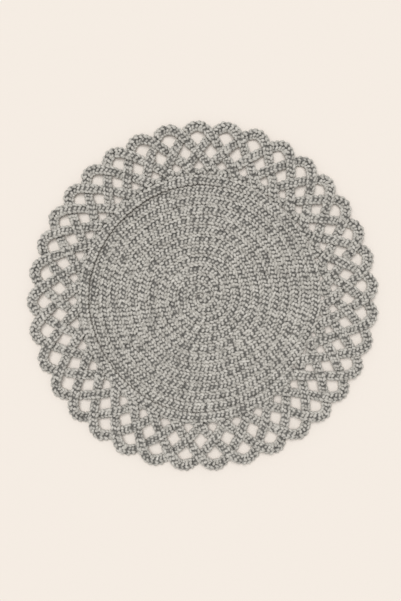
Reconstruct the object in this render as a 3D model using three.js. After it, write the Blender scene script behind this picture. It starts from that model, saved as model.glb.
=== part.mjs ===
import * as THREE from 'three';

// A round knitted table mat. One knitted cord is coiled flat and sewn into the dense
// centre. Four more, each joined into a ring, are interlaced into the open border and
// sewn to the coil where they turn back. Millimetres, +Z up, underside at Z = 0.

const edgeRadius = 190; // to the top of a scallop
const scallopCount = 36;
const borderCordCount = 4;
const cordWidth = 9.3; // on the runs between the crossings
const turnWidth = 10.9; // where a cord turns back, at the edge and at the coil
const cordThickness = 5.4;
const clearance = 0.3; // between neighbouring pieces
const crossingRise = 6.1; // from the lower cord's centreline up to the upper one's
const coilRadius = 125.2;
const coilTurns = 12;
const coilSteps = 60; // straight steps round each turn of the coil
const grooveDepth = 1.3; // between two turns of the coil
const boxMiddle = { x: 0.43, y: 1.41 }; // moves the origin to the middle of the outline

// The border cords wave in and out between these two radii. The fullness terms round
// the turns and pull the crossings to where they lie on the mat.
const scallopRadius = edgeRadius - turnWidth / 2;
const innerTurnRadius = coilRadius + clearance + turnWidth / 2;
const turnFullness = 1.0;
const runFullness = 1.4;
const scallopPitch = 360 / scallopCount; // degrees round the mat
const wavePitch = scallopPitch * borderCordCount;
const firstScallop = 3.08; // degrees round the mat

// One wave of a cord, in degrees of the wave from the top of a scallop. The cord lies
// flat under (0) or over (1) each cord that it crosses, and sags where it turns back.
// Steps are straight pieces on the way to the next row.
const wave = [
  { phase: 0, lift: 0.2, steps: 3 },
  { phase: 36, lift: 0, steps: 1 },
  { phase: 54, lift: 0, steps: 2 },
  { phase: 81, lift: 1, steps: 1 },
  { phase: 99, lift: 1, steps: 2 },
  { phase: 126, lift: 0, steps: 1 },
  { phase: 144, lift: 0, steps: 3 },
  { phase: 180, lift: 0.2, steps: 3 },
  { phase: 216, lift: 1, steps: 1 },
  { phase: 234, lift: 1, steps: 2 },
  { phase: 261, lift: 0, steps: 1 },
  { phase: 279, lift: 0, steps: 2 },
  { phase: 306, lift: 1, steps: 1 },
  { phase: 324, lift: 1, steps: 3 },
];

// Handwork is uneven. Each row is a slow wave round the mat, with its size at the coil
// and at the edge, and its phase there in degrees. A swell is a share of the radius.
const swells = [
  { waves: 1, atCoil: 0.0072, coilPhase: 51, atEdge: 0.0014, edgePhase: -31 },
  { waves: 2, atCoil: 0.0083, coilPhase: 96, atEdge: 0.0069, edgePhase: 72 },
  { waves: 3, atCoil: 0.0057, coilPhase: -4, atEdge: 0.0086, edgePhase: -80 },
  { waves: 4, atCoil: 0.0089, coilPhase: -27, atEdge: 0.0023, edgePhase: -77 },
];
// A lean is in degrees round the mat, so scallops stand wider or closer than the pitch.
const leans = [
  { waves: 1, atCoil: 2.51, coilPhase: -52, atEdge: 1.79, edgePhase: -53 },
  { waves: 2, atCoil: 0.76, coilPhase: -95, atEdge: 0.74, edgePhase: -105 },
  { waves: 3, atCoil: 0.46, coilPhase: -135, atEdge: 0.12, edgePhase: -62 },
  { waves: 4, atCoil: 0.12, coilPhase: -112, atEdge: 0.68, edgePhase: 96 },
];

const radians = THREE.MathUtils.degToRad;

function unevenness(rows, angle, edgeShare) {
  let sum = 0;
  for (const row of rows) {
    const coil = row.atCoil * Math.cos(radians(row.waves * angle - row.coilPhase));
    const edge = row.atEdge * Math.cos(radians(row.waves * angle - row.edgePhase));
    sum += THREE.MathUtils.lerp(coil, edge, edgeShare);
  }
  return sum;
}

// The place on the mat of a point of the even pattern. The unevenness dies out towards
// the middle of the coil.
function place(angle, radius, height) {
  const edgeShare = Math.max(0, (radius - innerTurnRadius) / (edgeRadius - innerTurnRadius));
  const calm = Math.min(1, radius / innerTurnRadius);
  const swell = 1 + calm * unevenness(swells, angle, edgeShare);
  const turned = angle + firstScallop + unevenness(leans, angle, edgeShare);
  return new THREE.Vector3(
    radius * swell * Math.cos(radians(turned)) - boxMiddle.x,
    radius * swell * Math.sin(radians(turned)) - boxMiddle.y,
    height,
  );
}

function waveRadius(phase) {
  const middle = (scallopRadius + innerTurnRadius) / 2 - turnFullness;
  const swing = (scallopRadius - innerTurnRadius) / 2 - runFullness;
  const turn = turnFullness * Math.cos(radians(2 * phase));
  const run = runFullness * Math.cos(radians(3 * phase));
  return middle + swing * Math.cos(radians(phase)) + turn + run;
}

function waveWidth(phase) {
  return THREE.MathUtils.lerp(cordWidth, turnWidth, Math.cos(radians(phase)) ** 4);
}

// The middle and width of a border cord at each of its steps, once round the mat.
function cordStations(cord) {
  const stations = [];
  for (let turn = 0; turn < scallopCount / borderCordCount; turn += 1) {
    wave.forEach((row, i) => {
      const next = wave[i + 1] ?? { phase: 360, lift: wave[0].lift };
      for (let step = 0; step < row.steps; step += 1) {
        const share = step / row.steps;
        const phase = THREE.MathUtils.lerp(row.phase, next.phase, share);
        const lift = THREE.MathUtils.lerp(row.lift, next.lift, (1 - Math.cos(Math.PI * share)) / 2);
        const angle = cord * scallopPitch + (turn + phase / 360) * wavePitch;
        stations.push({
          middle: place(angle, waveRadius(phase), cordThickness / 2 + crossingRise * lift),
          width: waveWidth(phase),
        });
      }
    });
  }
  return stations;
}

// A flattened hexagon: across is a share of the width, and up one of the thickness.
const cordSection = [
  { across: 0.5, up: 0 },
  { across: 0.24, up: 0.5 },
  { across: -0.24, up: 0.5 },
  { across: -0.5, up: 0 },
  { across: -0.24, up: -0.5 },
  { across: 0.24, up: -0.5 },
];

function geometryOf(points, triangles) {
  const geometry = new THREE.BufferGeometry();
  geometry.setAttribute(
    'position',
    new THREE.Float32BufferAttribute(points.flatMap((point) => point.toArray()), 3),
  );
  geometry.setIndex(triangles);
  geometry.computeVertexNormals();
  return geometry;
}

function ringGeometry(stations) {
  const count = stations.length;
  const sides = cordSection.length;
  const points = [];
  const triangles = [];
  for (let i = 0; i < count; i += 1) {
    const station = stations[i];
    const before = stations[(i + count - 1) % count].middle;
    const along = stations[(i + 1) % count].middle.clone().sub(before).normalize();
    const across = new THREE.Vector3(along.y, -along.x, 0).normalize();
    const up = across.clone().cross(along);
    for (const corner of cordSection) {
      points.push(
        station.middle
          .clone()
          .addScaledVector(across, corner.across * station.width)
          .addScaledVector(up, corner.up * cordThickness),
      );
    }
    for (let side = 0; side < sides; side += 1) {
      const next = (side + 1) % sides;
      const ahead = ((i + 1) % count) * sides;
      const here = i * sides;
      triangles.push(here + side, ahead + next, here + next);
      triangles.push(here + side, ahead + side, ahead + next);
    }
  }
  return geometryOf(points, triangles);
}

// The coil's outline from the middle of its top, over the ridge of each turn, round the
// rim and back to the middle of its flat underside.
function coilProfile() {
  const pitch = coilRadius / coilTurns;
  const profile = [{ radius: pitch / 2, height: cordThickness }];
  for (let turn = 1; turn < coilTurns; turn += 1) {
    profile.push({ radius: turn * pitch, height: cordThickness - grooveDepth });
    profile.push({ radius: (turn + 0.5) * pitch, height: cordThickness });
  }
  profile.push({ radius: coilRadius, height: cordThickness / 2 });
  profile.push({ radius: coilRadius - pitch / 4, height: 0 });
  return profile;
}

function coilGeometry() {
  const profile = coilProfile();
  const points = [];
  const triangles = [];
  for (const ring of profile) {
    for (let step = 0; step < coilSteps; step += 1) {
      points.push(place((step * 360) / coilSteps, ring.radius, ring.height));
    }
  }
  const topMiddle = points.push(place(0, 0, cordThickness)) - 1;
  const underMiddle = points.push(place(0, 0, 0)) - 1;
  const lastRing = (profile.length - 1) * coilSteps;
  for (let step = 0; step < coilSteps; step += 1) {
    const next = (step + 1) % coilSteps;
    triangles.push(topMiddle, step, next);
    triangles.push(underMiddle, lastRing + next, lastRing + step);
    for (let ring = 0; ring < profile.length - 1; ring += 1) {
      const inner = ring * coilSteps;
      const outer = inner + coilSteps;
      triangles.push(inner + step, outer + step, outer + next);
      triangles.push(inner + step, outer + next, inner + next);
    }
  }
  return geometryOf(points, triangles);
}

function yarnMaterial() {
  return new THREE.MeshStandardMaterial({ color: 0x9d9d97, roughness: 0.95, metalness: 0 });
}

const mat = new THREE.Group();

const coil = new THREE.Mesh(coilGeometry(), yarnMaterial());
coil.name = 'centre_coil';
mat.add(coil);

for (let cord = 0; cord < borderCordCount; cord += 1) {
  const ring = new THREE.Mesh(ringGeometry(cordStations(cord)), yarnMaterial());
  ring.name = `border_cord_${cord + 1}`;
  mat.add(ring);
}

export default mat;
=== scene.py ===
import math
import bpy
import numpy as np
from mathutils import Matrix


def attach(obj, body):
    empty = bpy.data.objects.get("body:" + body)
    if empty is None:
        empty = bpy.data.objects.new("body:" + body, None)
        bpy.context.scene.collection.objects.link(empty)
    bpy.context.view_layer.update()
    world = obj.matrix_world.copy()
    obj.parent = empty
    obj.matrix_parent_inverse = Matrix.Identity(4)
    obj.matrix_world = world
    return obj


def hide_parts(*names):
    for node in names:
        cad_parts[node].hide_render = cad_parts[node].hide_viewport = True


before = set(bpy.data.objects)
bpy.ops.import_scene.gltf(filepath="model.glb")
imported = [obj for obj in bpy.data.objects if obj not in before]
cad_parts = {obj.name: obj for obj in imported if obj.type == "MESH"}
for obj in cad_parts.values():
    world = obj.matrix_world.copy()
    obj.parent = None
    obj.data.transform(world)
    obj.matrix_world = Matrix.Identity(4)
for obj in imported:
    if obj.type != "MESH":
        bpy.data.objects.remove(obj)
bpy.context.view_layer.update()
millimetre = 0.001
fullTurn = 2 * math.pi
print("frame: the packed mat is loaded")

# The mat's even pattern, as in the part's source: millimetres and degrees
matPattern = {
    "edgeRadius": 190.0,  # to the top of a scallop
    "scallops": 36,
    "borderCords": 4,
    "turnWidth": 10.9,  # where a cord turns back
    "clearance": 0.3,
    "coilRadius": 125.2,
    "turnFullness": 1.0,
    "runFullness": 1.4,
    "firstScallop": 3.08,
    "boxMiddle": (0.43, 1.41),
}
scallopRadius = matPattern["edgeRadius"] - matPattern["turnWidth"] / 2
innerTurnRadius = matPattern["coilRadius"] + matPattern["clearance"] + matPattern["turnWidth"] / 2

# Handwork is uneven. Each row is a slow wave round the mat: waves, size and phase at
# the coil, size and phase at the edge. Swells are shares of the radius, leans degrees.
swells = [
    (1, 0.0072, 51, 0.0014, -31),
    (2, 0.0083, 96, 0.0069, 72),
    (3, 0.0057, -4, 0.0086, -80),
    (4, 0.0089, -27, 0.0023, -77),
]
leans = [
    (1, 2.51, -52, 1.79, -53),
    (2, 0.76, -95, 0.74, -105),
    (3, 0.46, -135, 0.12, -62),
    (4, 0.12, -112, 0.68, 96),
]


def unevenness(rows, angle, edgeShare):
    total = 0
    for waves, atCoil, coilPhase, atEdge, edgePhase in rows:
        coil = atCoil * np.cos(np.radians(waves * angle - coilPhase))
        edge = atEdge * np.cos(np.radians(waves * angle - edgePhase))
        total = total + coil + (edge - coil) * edgeShare
    return total


def placeOnMat(angle, radius, height):
    edgeShare = np.maximum(0, (radius - innerTurnRadius) / (matPattern["edgeRadius"] - innerTurnRadius))
    calm = np.minimum(1, radius / innerTurnRadius)
    swell = 1 + calm * unevenness(swells, angle, edgeShare)
    turned = np.radians(angle + matPattern["firstScallop"] + unevenness(leans, angle, edgeShare))
    x = radius * swell * np.cos(turned) - matPattern["boxMiddle"][0]
    y = radius * swell * np.sin(turned) - matPattern["boxMiddle"][1]
    return np.stack([x, y, height + 0 * x], axis=1)


def slowNoise(seed, count, waves, closed=True):
    # a smooth wandering line between about -1 and 1, the same on each run
    draw = np.random.default_rng(seed)
    place = np.linspace(0, 1, count, endpoint=not closed)
    line = np.zeros(count)
    for wave in range(1, waves + 1):
        line += draw.normal() * np.cos(fullTurn * (wave * place + draw.random()))
    return line / math.sqrt(waves)


def smoothStep(value, low, high):
    share = np.clip((value - low) / (high - low), 0, 1)
    return share * share * (3 - 2 * share)


# Yarn and stitches, in millimetres. A stitch is one loop: foot, leg, head, leg.
knitting = {
    "walesRound": 3,  # columns of stitches round the cord
    "rowPitch": 4.7,
    "yarnRadius": 1.58,
    "legPlump": 0.25,  # the yarn is thicker in the free legs and thinner where loops pull
    "legRise": 0.72,  # legs stand proud and heads lie behind
    "loopLean": 0.2387,  # how far the legs lean over the feet, in wales
    "loopReach": 0.52,  # how far a loop reaches up and down, in rows
    "sectionShape": 2.2,  # width over thickness through the middle of the legs
    "unevenRows": 0.13,
    "unevenWales": 0.08,
    "unevenRise": 0.22,
    "unevenRadius": 0.07,
    "unevenLimit": 2,  # no stitch is further off than this many times the usual
    "leastHalf": 0.15,  # the section never closes to less than this
    "leastRise": 0.1,
    "tableGap": 0.05,
    # corners round the yarn in degrees, closer on its outside
    "sideTurns": [0, 45, 90, 180, 270, 315],
    # rings along one stitch, in degrees from its hidden foot, closer on the legs that show
    "stepTurns": [42, 66, 90, 114, 138, 180, 222, 246, 270, 294, 318],
}


def withOverlap(values, overlap):
    # a closed row of values that runs on past its join at both ends
    return np.concatenate([values[-overlap:], values, values[:overlap + 1]])


def middleLine(points, width, thickness, closed):
    # a table of the cord's middle line, with its across and up, by its length
    overlap = 4
    if closed:
        points = withOverlap(points, overlap)
        width = withOverlap(width, overlap)
        thickness = withOverlap(thickness, overlap)
    forward = np.gradient(points, axis=0)
    forward /= np.linalg.norm(forward, axis=1)[:, None]
    across = np.stack([forward[:, 1], -forward[:, 0], 0 * forward[:, 0]], axis=1)
    across /= np.linalg.norm(across, axis=1)[:, None]
    up = np.cross(across, forward)
    length = np.concatenate([[0], np.cumsum(np.linalg.norm(np.diff(points, axis=0), axis=1))])
    start = length[overlap] if closed else 0
    end = length[-overlap - 1] if closed else length[-1]
    return {
        "table": np.concatenate([points, across, up, width[:, None], thickness[:, None]], axis=1),
        "length": length - start,
        "whole": end - start,
        "closed": closed,
    }


def sectionWalk():
    # even steps round a cord's flattened section
    steps = 720
    turn = np.linspace(0, fullTurn, steps + 1)
    step = np.hypot(np.diff(knitting["sectionShape"] * np.cos(turn)), np.diff(np.sin(turn)))
    walked = np.concatenate([[0], np.cumsum(step)])
    return walked / walked[-1], turn


walked, walkedTurn = sectionWalk()


def knitCord(line, rows, seed):
    # the yarn's own middle line through every stitch of one cord, row after row
    wales = knitting["walesRound"]
    steps = np.array(knitting["stepTurns"]) / 360
    stitch = (np.arange(rows * wales)[:, None] + steps[None, :]).ravel()
    if not line["closed"]:
        stitch = np.append(stitch, rows * wales)
    turn = fullTurn * stitch
    draw = np.random.default_rng(seed)
    limit = knitting["unevenLimit"]
    hand = np.clip(draw.normal(size=(rows * wales + 2, 4)), -limit, limit)
    if line["closed"]:
        hand[-2:] = hand[:2]
    own = stitch.astype(int)
    share = smoothStep(stitch - own, 0, 1)[:, None]
    ownRow, ownWale, ownRise, ownRadius = (hand[own] * (1 - share) + hand[own + 1] * share).T
    around = stitch + knitting["loopLean"] * np.sin(2 * turn) + knitting["unevenWales"] * ownWale
    row = stitch / wales - knitting["loopReach"] * np.cos(turn) + knitting["unevenRows"] * ownRow
    distance = row * line["whole"] / rows
    if line["closed"]:
        distance = distance % line["whole"]
    else:
        distance = np.clip(distance, 0, line["whole"])
    table = np.stack([np.interp(distance, line["length"], column) for column in line["table"].T], axis=1)
    hub, across, up = table[:, 0:3], table[:, 3:6], table[:, 6:9]
    width, thickness = table[:, 9], table[:, 10]
    roll = np.interp(distance, np.linspace(0, line["whole"], len(line["roll"])), line["roll"])
    angle = np.interp((around / wales + roll) % 1.0, walked, walkedTurn)
    radius = knitting["yarnRadius"] * (1 - knitting["legPlump"] * np.cos(2 * turn))
    radius = radius * (1 + knitting["unevenRadius"] * ownRadius)
    inset = knitting["yarnRadius"] * (1 + knitting["legPlump"]) + knitting["legRise"]
    half = np.maximum(knitting["leastHalf"], width / 2 - inset)
    rise = np.maximum(knitting["leastRise"], thickness / 2 - inset)
    out = across * np.cos(angle)[:, None] + up * np.sin(angle)[:, None]
    stand = -knitting["legRise"] * np.cos(2 * turn) + knitting["unevenRise"] * ownRise
    ring = across * (half * np.cos(angle))[:, None] + up * (rise * np.sin(angle))[:, None]
    natural = inset + rise
    return {
        "centre": hub + ring + out * stand[:, None],
        "out": out,
        "radius": radius,
        "hub": hub,
        "up": up,
        "squash": np.minimum(1, thickness / 2 / natural),
        "shareAcross": across * (2 / width)[:, None],
        "shareUp": up / natural[:, None],
    }


def yarnSkin(yarn, turns, closed):
    # rings of points round the yarn, how far out of the cord each lies, and the way along
    centre, out, radius = yarn["centre"], yarn["out"], yarn["radius"]
    if closed:
        forward = np.roll(centre, -1, axis=0) - np.roll(centre, 1, axis=0)
        gap = np.linalg.norm(np.roll(centre, -1, axis=0) - centre, axis=1)
    else:
        forward = np.gradient(centre, axis=0)
        gap = np.linalg.norm(np.diff(centre, axis=0), axis=1)
    forward /= np.linalg.norm(forward, axis=1)[:, None]
    normal = out - forward * np.sum(out * forward, axis=1)[:, None]
    normal /= np.linalg.norm(normal, axis=1)[:, None]
    side = np.cross(forward, normal)
    ring = np.cos(fullTurn * turns[:-1])[None, :, None] * normal[:, None, :]
    ring = ring + np.sin(fullTurn * turns[:-1])[None, :, None] * side[:, None, :]
    points = centre[:, None, :] + radius[:, None, None] * ring
    arm = points - yarn["hub"][:, None, :]
    proud = np.hypot(
        np.sum(arm * yarn["shareAcross"][:, None, :], axis=2),
        np.sum(arm * yarn["shareUp"][:, None, :], axis=2),
    )
    # a cord is pressed flat where another one crosses it, and on the table
    upward = np.sum(arm * yarn["up"][:, None, :], axis=2) * (yarn["squash"] - 1)[:, None]
    points = points + upward[:, :, None] * yarn["up"][:, None, :]
    points[:, :, 2] = np.maximum(points[:, :, 2], knitting["tableGap"])
    return points, proud, np.concatenate([[0], np.cumsum(gap)])


def yarnFaces(count, turns, along, closed):
    # four-sided faces between the rings, a cap on each open end, and the map of their corners
    sides = len(turns) - 1
    rings = count if closed else count - 1
    here = (np.arange(rings) * sides)[:, None]
    ahead = ((np.arange(rings) + 1) % count * sides)[:, None]
    k = np.arange(sides)[None, :]
    after = (k + 1) % sides
    quads = np.stack([here + k, here + after, ahead + after, ahead + k], axis=2).reshape(-1, 4)
    left, right, low, high = np.broadcast_arrays(
        turns[None, :-1], turns[None, 1:], along[:rings, None], along[1:rings + 1, None]
    )
    corners = np.stack([left, low, right, low, right, high, left, high], axis=2).reshape(-1, 2)
    loops = quads.reshape(-1)
    starts = np.arange(len(quads)) * 4
    if not closed:
        ends = np.concatenate([np.arange(sides)[::-1], (count - 1) * sides + np.arange(sides)])
        loops = np.concatenate([loops, ends])
        starts = np.concatenate([starts, [len(quads) * 4, len(quads) * 4 + sides]])
        corners = np.concatenate([corners, np.full((2 * sides, 2), 0.5)])
    return loops, starts, corners


def yarnTube(name, yarn, closed):
    # one closed skin round the yarn, in metres, with a map of round and along
    turns = np.append(knitting["sideTurns"], 360) / 360
    points, proud, along = yarnSkin(yarn, turns, closed)
    loops, starts, corners = yarnFaces(len(points), turns, along * millimetre, closed)
    mesh = bpy.data.meshes.new(name)
    mesh.vertices.add(proud.size)
    mesh.vertices.foreach_set("co", (points * millimetre).astype(np.float32).ravel())
    mesh.loops.add(len(loops))
    mesh.loops.foreach_set("vertex_index", loops.astype(np.int32))
    mesh.polygons.add(len(starts))
    mesh.polygons.foreach_set("loop_start", starts.astype(np.int32))
    mesh.update(calc_edges=True)
    uvMap = mesh.uv_layers.new(name="yarnUv")
    uvMap.data.foreach_set("uv", corners.astype(np.float32).ravel())
    # 1 on the cord's outside, 0 at its heart; this sets where the yarn's colour gets painted shade
    depth = mesh.attributes.new("proud", "FLOAT", "POINT")
    mostProud = 1.2
    depth.data.foreach_set("value", np.clip(proud, 0, mostProud).astype(np.float32).ravel())
    mesh.shade_smooth()
    mesh.validate()
    piece = bpy.data.objects.new(name, mesh)
    bpy.context.scene.collection.objects.link(piece)
    return piece


melangeYarn = {
    "light": (0.675, 0.648, 0.597),
    "middle": (0.52, 0.497, 0.452),
    "dark": (0.322, 0.307, 0.278),
    # tones at which the three greys are full
    "lightAt": 0.84,
    "middleAt": 0.62,
    "darkAt": 0.44,
    # scale, detail, roughness and share of fine flecks, of each lump, and of a slow drift
    "fibres": [(1400.0, 3.0, 0.6, 0.36), (240.0, 2.0, 0.5, 0.70), (28.0, 2.0, 0.5, 0.14)],
    "roughness": 0.92,
    "sheen": 0.25,
    "sheenRoughness": 0.5,
    "specular": 0.2,
    "plies": 7,
    "twistsAMetre": 330.0,
    # painted shade in the grooves between the plies
    "plyGrooveShade": 0.08,
    "plyDepth": 0.6,
    "hollowFrom": 0.62,  # share of the way out of the cord where the shade starts to lift
    "hollowTo": 0.92,
    "paintedHollowShade": 0.36,
    "fuzz": (900.0, 4.0, 0.7),  # scale, detail and roughness
    "fuzzShare": 0.5,
    "fuzzDepth": 0.0006,
    "bumpStrength": 0.7,
}


def mathNode(tree, operation, first, second=None, third=None):
    node = tree.nodes.new("ShaderNodeMath")
    node.operation = operation
    for socket, value in zip(node.inputs, (first, second, third)):
        if isinstance(value, (int, float)):
            socket.default_value = value
        elif value is not None:
            tree.links.new(value, socket)
    return node.outputs[0]


def noiseNode(tree, vector, scale, detail, roughness):
    node = tree.nodes.new("ShaderNodeTexNoise")
    node.inputs["Scale"].default_value = scale
    node.inputs["Detail"].default_value = detail
    node.inputs["Roughness"].default_value = roughness
    tree.links.new(vector, node.inputs["Vector"])
    return node.outputs["Fac"]


def knittedYarnMaterial():
    finish = bpy.data.materials.new("knittedYarn")
    finish.use_nodes = True
    tree = finish.node_tree
    shader = tree.nodes["Principled BSDF"]
    shader.inputs["Base Color"].default_value = (*melangeYarn["middle"], 1)
    shader.inputs["Roughness"].default_value = melangeYarn["roughness"]
    shader.inputs["Sheen Weight"].default_value = melangeYarn["sheen"]
    shader.inputs["Sheen Roughness"].default_value = melangeYarn["sheenRoughness"]
    shader.inputs["Specular IOR Level"].default_value = melangeYarn["specular"]
    uvMap = tree.nodes.new("ShaderNodeUVMap")
    uvMap.uv_map = "yarnUv"
    parts = tree.nodes.new("ShaderNodeSeparateXYZ")
    tree.links.new(uvMap.outputs["UV"], parts.inputs[0])
    place = tree.nodes.new("ShaderNodeTexCoord").outputs["Object"]

    # twisted plies
    roundTurn = mathNode(tree, "MULTIPLY", parts.outputs["X"], fullTurn * melangeYarn["plies"])
    alongTurn = mathNode(tree, "MULTIPLY", parts.outputs["Y"], fullTurn * melangeYarn["twistsAMetre"])
    plyWave = mathNode(tree, "SINE", mathNode(tree, "ADD", roundTurn, alongTurn))
    ply = mathNode(tree, "MULTIPLY_ADD", plyWave, 0.5, 0.5)

    # painted shade darker in the grooves between the plies, and fibres of several greys
    tone = mathNode(tree, "MULTIPLY", ply, melangeYarn["plyGrooveShade"])
    for scale, detail, roughness, share in melangeYarn["fibres"]:
        fleck = noiseNode(tree, place, scale, detail, roughness)
        tone = mathNode(tree, "MULTIPLY_ADD", fleck, share, tone)
    greys = tree.nodes.new("ShaderNodeValToRGB")
    greys.color_ramp.elements[0].position = melangeYarn["darkAt"]
    greys.color_ramp.elements[0].color = (*melangeYarn["dark"], 1)
    greys.color_ramp.elements[1].position = melangeYarn["lightAt"]
    greys.color_ramp.elements[1].color = (*melangeYarn["light"], 1)
    middle = greys.color_ramp.elements.new(melangeYarn["middleAt"])
    middle.color = (*melangeYarn["middle"], 1)
    tree.links.new(tone, greys.inputs[0])

    # painted shade: the yarn's colour is darkened deep between the stitches, where shade falls
    proud = tree.nodes.new("ShaderNodeAttribute")
    proud.attribute_name = "proud"
    # painted shade, darkest at the cord's heart and lifting towards its outside
    paintedShadeNode = tree.nodes.new("ShaderNodeMapRange")
    paintedShadeNode.interpolation_type = "SMOOTHSTEP"
    paintedShadeNode.inputs["From Min"].default_value = melangeYarn["hollowFrom"]
    paintedShadeNode.inputs["From Max"].default_value = melangeYarn["hollowTo"]
    paintedShadeNode.inputs["To Min"].default_value = melangeYarn["paintedHollowShade"]
    tree.links.new(proud.outputs["Fac"], paintedShadeNode.inputs["Value"])
    shaded = tree.nodes.new("ShaderNodeMix")
    shaded.data_type = "RGBA"
    shaded.blend_type = "MULTIPLY"
    shaded.inputs["Factor"].default_value = 1.0
    # the mix has several sockets of each name, and these are its colours
    firstColour, secondColour, mixedColour = shaded.inputs[6], shaded.inputs[7], shaded.outputs[2]
    tree.links.new(greys.outputs["Color"], firstColour)
    tree.links.new(paintedShadeNode.outputs["Result"], secondColour)
    tree.links.new(mixedColour, shader.inputs["Base Color"])

    # fuzz and plies stand out of the yarn
    fuzz = mathNode(tree, "MULTIPLY", noiseNode(tree, place, *melangeYarn["fuzz"]), melangeYarn["fuzzShare"])
    relief = mathNode(tree, "MULTIPLY_ADD", ply, melangeYarn["plyDepth"], fuzz)
    bump = tree.nodes.new("ShaderNodeBump")
    bump.inputs["Strength"].default_value = melangeYarn["bumpStrength"]
    bump.inputs["Distance"].default_value = melangeYarn["fuzzDepth"]
    tree.links.new(relief, bump.inputs["Height"])
    tree.links.new(bump.outputs["Normal"], shader.inputs["Normal"])
    return finish


yarnFinish = knittedYarnMaterial()


def finishPiece(piece, node):
    piece.data.materials.append(yarnFinish)
    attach(piece, "root")
    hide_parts(node)


borderCord = {
    "runWidth": 11.8,
    "turnWidth": 13.2,
    "outerPush": 0.45,  # the scallops stand this much further out than the even wave
    "turnThickness": 6.4,
    "crossingThickness": 4.4,  # the soft cords flatten each other where they cross
    "runThickness": 6.4,
    "under": 2.2,  # height of the middle line under and over another cord
    "over": 6.7,
    "atTurn": 3.1,
    "stepsAWave": 240,
    "softening": 9,  # steps over which the climbs are rounded
    "turnSharpness": 3.4,  # how soon the crossings' thickness gives way to the turn's
    "turnRoll": 0.083,  # two columns of legs lie on top where the cord turns, three between
    "rollWander": 0.03,
    "rollWaves": 40,
    "rollSeed": 40,
    "handSeed": 50,
    # phase of the wave from the top of a scallop, and where the cord lies there
    "lies": [
        (0, "atTurn"), (38, "under"), (52, "under"), (83, "over"), (97, "over"),
        (128, "under"), (142, "under"), (180, "atTurn"), (218, "over"), (232, "over"),
        (263, "under"), (277, "under"), (308, "over"), (322, "over"), (360, "atTurn"),
    ],
}


def roundedRing(values, reach):
    # softens a closed row of numbers over a few neighbours
    share = np.hanning(2 * reach + 3)[1:-1]
    share /= share.sum()
    padded = np.concatenate([values[-reach:], values, values[:reach]])
    return np.convolve(padded, share, mode="valid")


def waveRadius(phase):
    middle = (scallopRadius + innerTurnRadius) / 2 - matPattern["turnFullness"]
    swing = (scallopRadius - innerTurnRadius) / 2 - matPattern["runFullness"]
    turn = matPattern["turnFullness"] * np.cos(np.radians(2 * phase))
    run = matPattern["runFullness"] * np.cos(np.radians(3 * phase))
    push = borderCord["outerPush"] * np.maximum(0, np.cos(np.radians(phase))) ** 4
    return middle + swing * np.cos(np.radians(phase)) + turn + run + push


def waveHeight(phase):
    phases = np.array([row[0] for row in borderCord["lies"]], dtype=float)
    heights = np.array([borderCord[row[1]] for row in borderCord["lies"]], dtype=float)
    k = np.clip(np.searchsorted(phases, phase, side="right") - 1, 0, len(phases) - 2)
    share = (phase - phases[k]) / (phases[k + 1] - phases[k])
    return heights[k] + (heights[k + 1] - heights[k]) * (1 - np.cos(np.pi * share)) / 2


def waveThickness(phase):
    # thin at each crossing, every 45 degrees but for the two turns
    crossing = np.cos(np.radians(phase * 4)) ** 2
    sharpness = borderCord["turnSharpness"]
    turning = np.clip(np.cos(np.radians(phase)) ** 2 * sharpness - (sharpness - 1), 0, 1)
    run = borderCord["runThickness"]
    thick = run + (borderCord["crossingThickness"] - run) * crossing
    return thick + (borderCord["turnThickness"] - thick) * turning


def makeBorderCord(number):
    waves = matPattern["scallops"] // matPattern["borderCords"]
    steps = borderCord["stepsAWave"] * waves
    place = np.arange(steps) / borderCord["stepsAWave"]
    phase = (place % 1) * 360
    angle = number * 360 / matPattern["scallops"] + place * 360 / waves
    height = roundedRing(waveHeight(phase), borderCord["softening"])
    points = placeOnMat(angle, waveRadius(phase), height)
    turning = np.cos(np.radians(phase)) ** 4
    width = borderCord["runWidth"] + (borderCord["turnWidth"] - borderCord["runWidth"]) * turning
    line = middleLine(points, width, waveThickness(phase), True)
    roll = borderCord["turnRoll"] * turning
    wander = slowNoise(borderCord["rollSeed"] + number, steps, borderCord["rollWaves"])
    roll += borderCord["rollWander"] * wander
    line["roll"] = np.append(roll, roll[0])
    rows = round(line["whole"] / knitting["rowPitch"])
    yarn = knitCord(line, rows, borderCord["handSeed"] + number)
    piece = yarnTube("borderCord" + str(number + 1), yarn, True)
    finishPiece(piece, "border_cord_" + str(number + 1))
    print("border cord", number + 1, "of", round(line["whole"]), "mm and", rows, "rows")


for number in range(matPattern["borderCords"]):
    makeBorderCord(number)

centreCoil = {
    "turnPitch": 10.5,
    "startTurn": 0.06,
    "endTurn": 12.56,
    "turnAtZero": 0.686,  # where the spiral crosses 0 degrees
    "width": 12.8,
    "lastTurnWidth": 12.4,
    "thickness": 6.4,
    "lastTurnThickness": 5.6,
    "rollWander": 0.03,
    "rollWaves": 120,
    "rollSteps": 600,
    "rollSeed": 71,
    "handSeed": 72,
    "outward": 0.7,  # the rim stands off the middle towards this angle
    "outwardAngle": 200,
    "rimRadius": 129.8,
    "climbFrom": 50,  # the last turn climbs on to the border's inner turns
    "climbTo": 112,
    "climb": 5.2,
    "endDrop": 2.5,
    "endDropAngle": 10,
    "endLength": 2.5,  # over which the knitting closes at both ends
    "leastClosing": 0.02,
    "stepsATurn": 240,
    "pieces": ["coilInner", "coilMiddle", "coilRim"],
}


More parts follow.
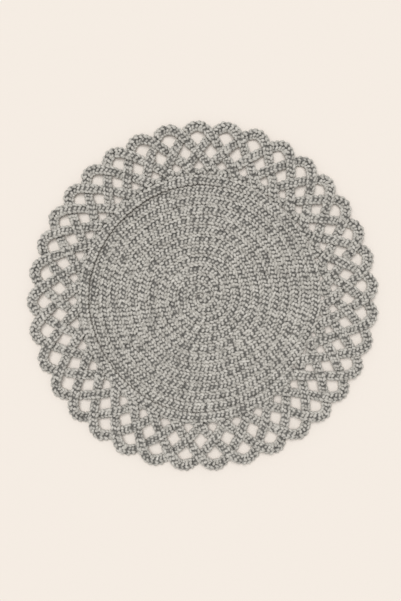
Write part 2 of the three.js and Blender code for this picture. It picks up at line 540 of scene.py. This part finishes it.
def makeCentreCoil():
    coil = centreCoil
    count = int((coil["endTurn"] - coil["startTurn"]) * coil["stepsATurn"])
    turn = np.linspace(coil["startTurn"], coil["endTurn"], count)
    angle = 360 * (turn - coil["turnAtZero"])
    even = np.minimum(coil["turnPitch"] * turn, coil["rimRadius"])
    away = coil["outward"] * (even / coil["rimRadius"]) ** 2
    radius = even + away * np.cos(np.radians(angle - coil["outwardAngle"]))
    lastTurn = math.floor(coil["endTurn"] - coil["turnAtZero"]) * 360
    climb = smoothStep(angle, lastTurn + coil["climbFrom"], lastTurn + coil["climbTo"])
    ending = smoothStep(angle, angle[-1] - coil["endDropAngle"], angle[-1])
    height = coil["thickness"] / 2 + coil["climb"] * climb - coil["endDrop"] * ending
    points = placeOnMat(angle, radius, height)
    length = np.concatenate([[0], np.cumsum(np.linalg.norm(np.diff(points, axis=0), axis=1))])
    toEnd = np.clip(np.minimum(length, length[-1] - length) / coil["endLength"], 0, 1)
    closing = np.sqrt(np.clip(1 - (1 - toEnd) ** 2, coil["leastClosing"], 1))
    width = coil["width"] + (coil["lastTurnWidth"] - coil["width"]) * climb
    thickness = coil["thickness"] + (coil["lastTurnThickness"] - coil["thickness"]) * climb
    line = middleLine(points, width * closing, thickness * (1 + closing) / 2, False)
    wander = slowNoise(coil["rollSeed"], coil["rollSteps"], coil["rollWaves"], False)
    line["roll"] = coil["rollWander"] * wander
    rows = round(line["whole"] / knitting["rowPitch"])
    yarn = knitCord(line, rows, coil["handSeed"])
    rowSteps = knitting["walesRound"] * len(knitting["stepTurns"])
    parts = len(coil["pieces"])
    for part, name in enumerate(coil["pieces"]):
        first = round(rows * part / parts) * rowSteps
        last = round(rows * (part + 1) / parts) * rowSteps
        stretch = {key: values[first:last + 1] for key, values in yarn.items()}
        finishPiece(yarnTube(name, stretch, False), "centre_coil")
    print("coil of", round(line["whole"]), "mm and", rows, "rows")


makeCentreCoil()

tableTop = {
    "size": 6.0,  # metres
    "colour": (0.815, 0.756, 0.696),
    "roughness": 0.75,
    "specular": 0.1,
}


def makeTableTop():
    half = tableTop["size"] / 2
    corners = [(-half, -half, 0), (half, -half, 0), (half, half, 0), (-half, half, 0)]
    mesh = bpy.data.meshes.new("tableTop")
    mesh.from_pydata(corners, [], [(0, 1, 2, 3)])
    sheet = bpy.data.objects.new("tableTop", mesh)
    bpy.context.scene.collection.objects.link(sheet)
    finish = bpy.data.materials.new("tableTop")
    finish.use_nodes = True
    shader = finish.node_tree.nodes["Principled BSDF"]
    shader.inputs["Base Color"].default_value = (*tableTop["colour"], 1)
    shader.inputs["Roughness"].default_value = tableTop["roughness"]
    shader.inputs["Specular IOR Level"].default_value = tableTop["specular"]
    mesh.materials.append(finish)


makeTableTop()

lighting = {
    "room": (1.0, 0.985, 0.965),
    "roomStrength": 0.52,
    "lampFrom": (-0.13, 0.25, 1.0),  # nearly overhead, from the top and a little left
    "lampSpread": 44.0,  # degrees across
    "lampStrength": 1.96,
}


def makeLight():
    room = bpy.data.worlds.new("softRoom")
    bpy.context.scene.world = room
    room.use_nodes = True
    backdrop = room.node_tree.nodes["Background"]
    backdrop.inputs["Color"].default_value = (*lighting["room"], 1)
    backdrop.inputs["Strength"].default_value = lighting["roomStrength"]
    softbox = bpy.data.lights.new("softbox", "SUN")
    softbox.angle = math.radians(lighting["lampSpread"])
    softbox.energy = lighting["lampStrength"]
    lamp = bpy.data.objects.new("softbox", softbox)
    lamp.location = lighting["lampFrom"]
    lamp.rotation_euler = (-lamp.location).to_track_quat("-Z", "Y").to_euler()
    bpy.context.scene.collection.objects.link(lamp)


makeLight()

viewpoint = {
    "lens": 50.0,
    "sensor": 36.0,
    "millimetresAPixel": 1.0857,
    "picture": (401, 601),
    "middle": (-2.13, -5.50),
    "scaleHeight": 5.0,  # above the table, where a pixel has the size above
    "farthest": 20,  # metres
}


def makeCamera():
    camera = bpy.data.cameras.new("camera")
    camera.lens = viewpoint["lens"]
    camera.sensor_width = viewpoint["sensor"]
    camera.clip_end = viewpoint["farthest"]
    tall = viewpoint["picture"][1] * viewpoint["millimetresAPixel"]
    away = tall * viewpoint["lens"] / viewpoint["sensor"] + viewpoint["scaleHeight"]
    eye = bpy.data.objects.new("camera", camera)
    middle = viewpoint["middle"]
    eye.location = (middle[0] * millimetre, middle[1] * millimetre, away * millimetre)
    bpy.context.scene.collection.objects.link(eye)
    bpy.context.scene.camera = eye


makeCamera()
bpy.context.scene.view_settings.view_transform = "Standard"
print("table top, light and camera are in place")
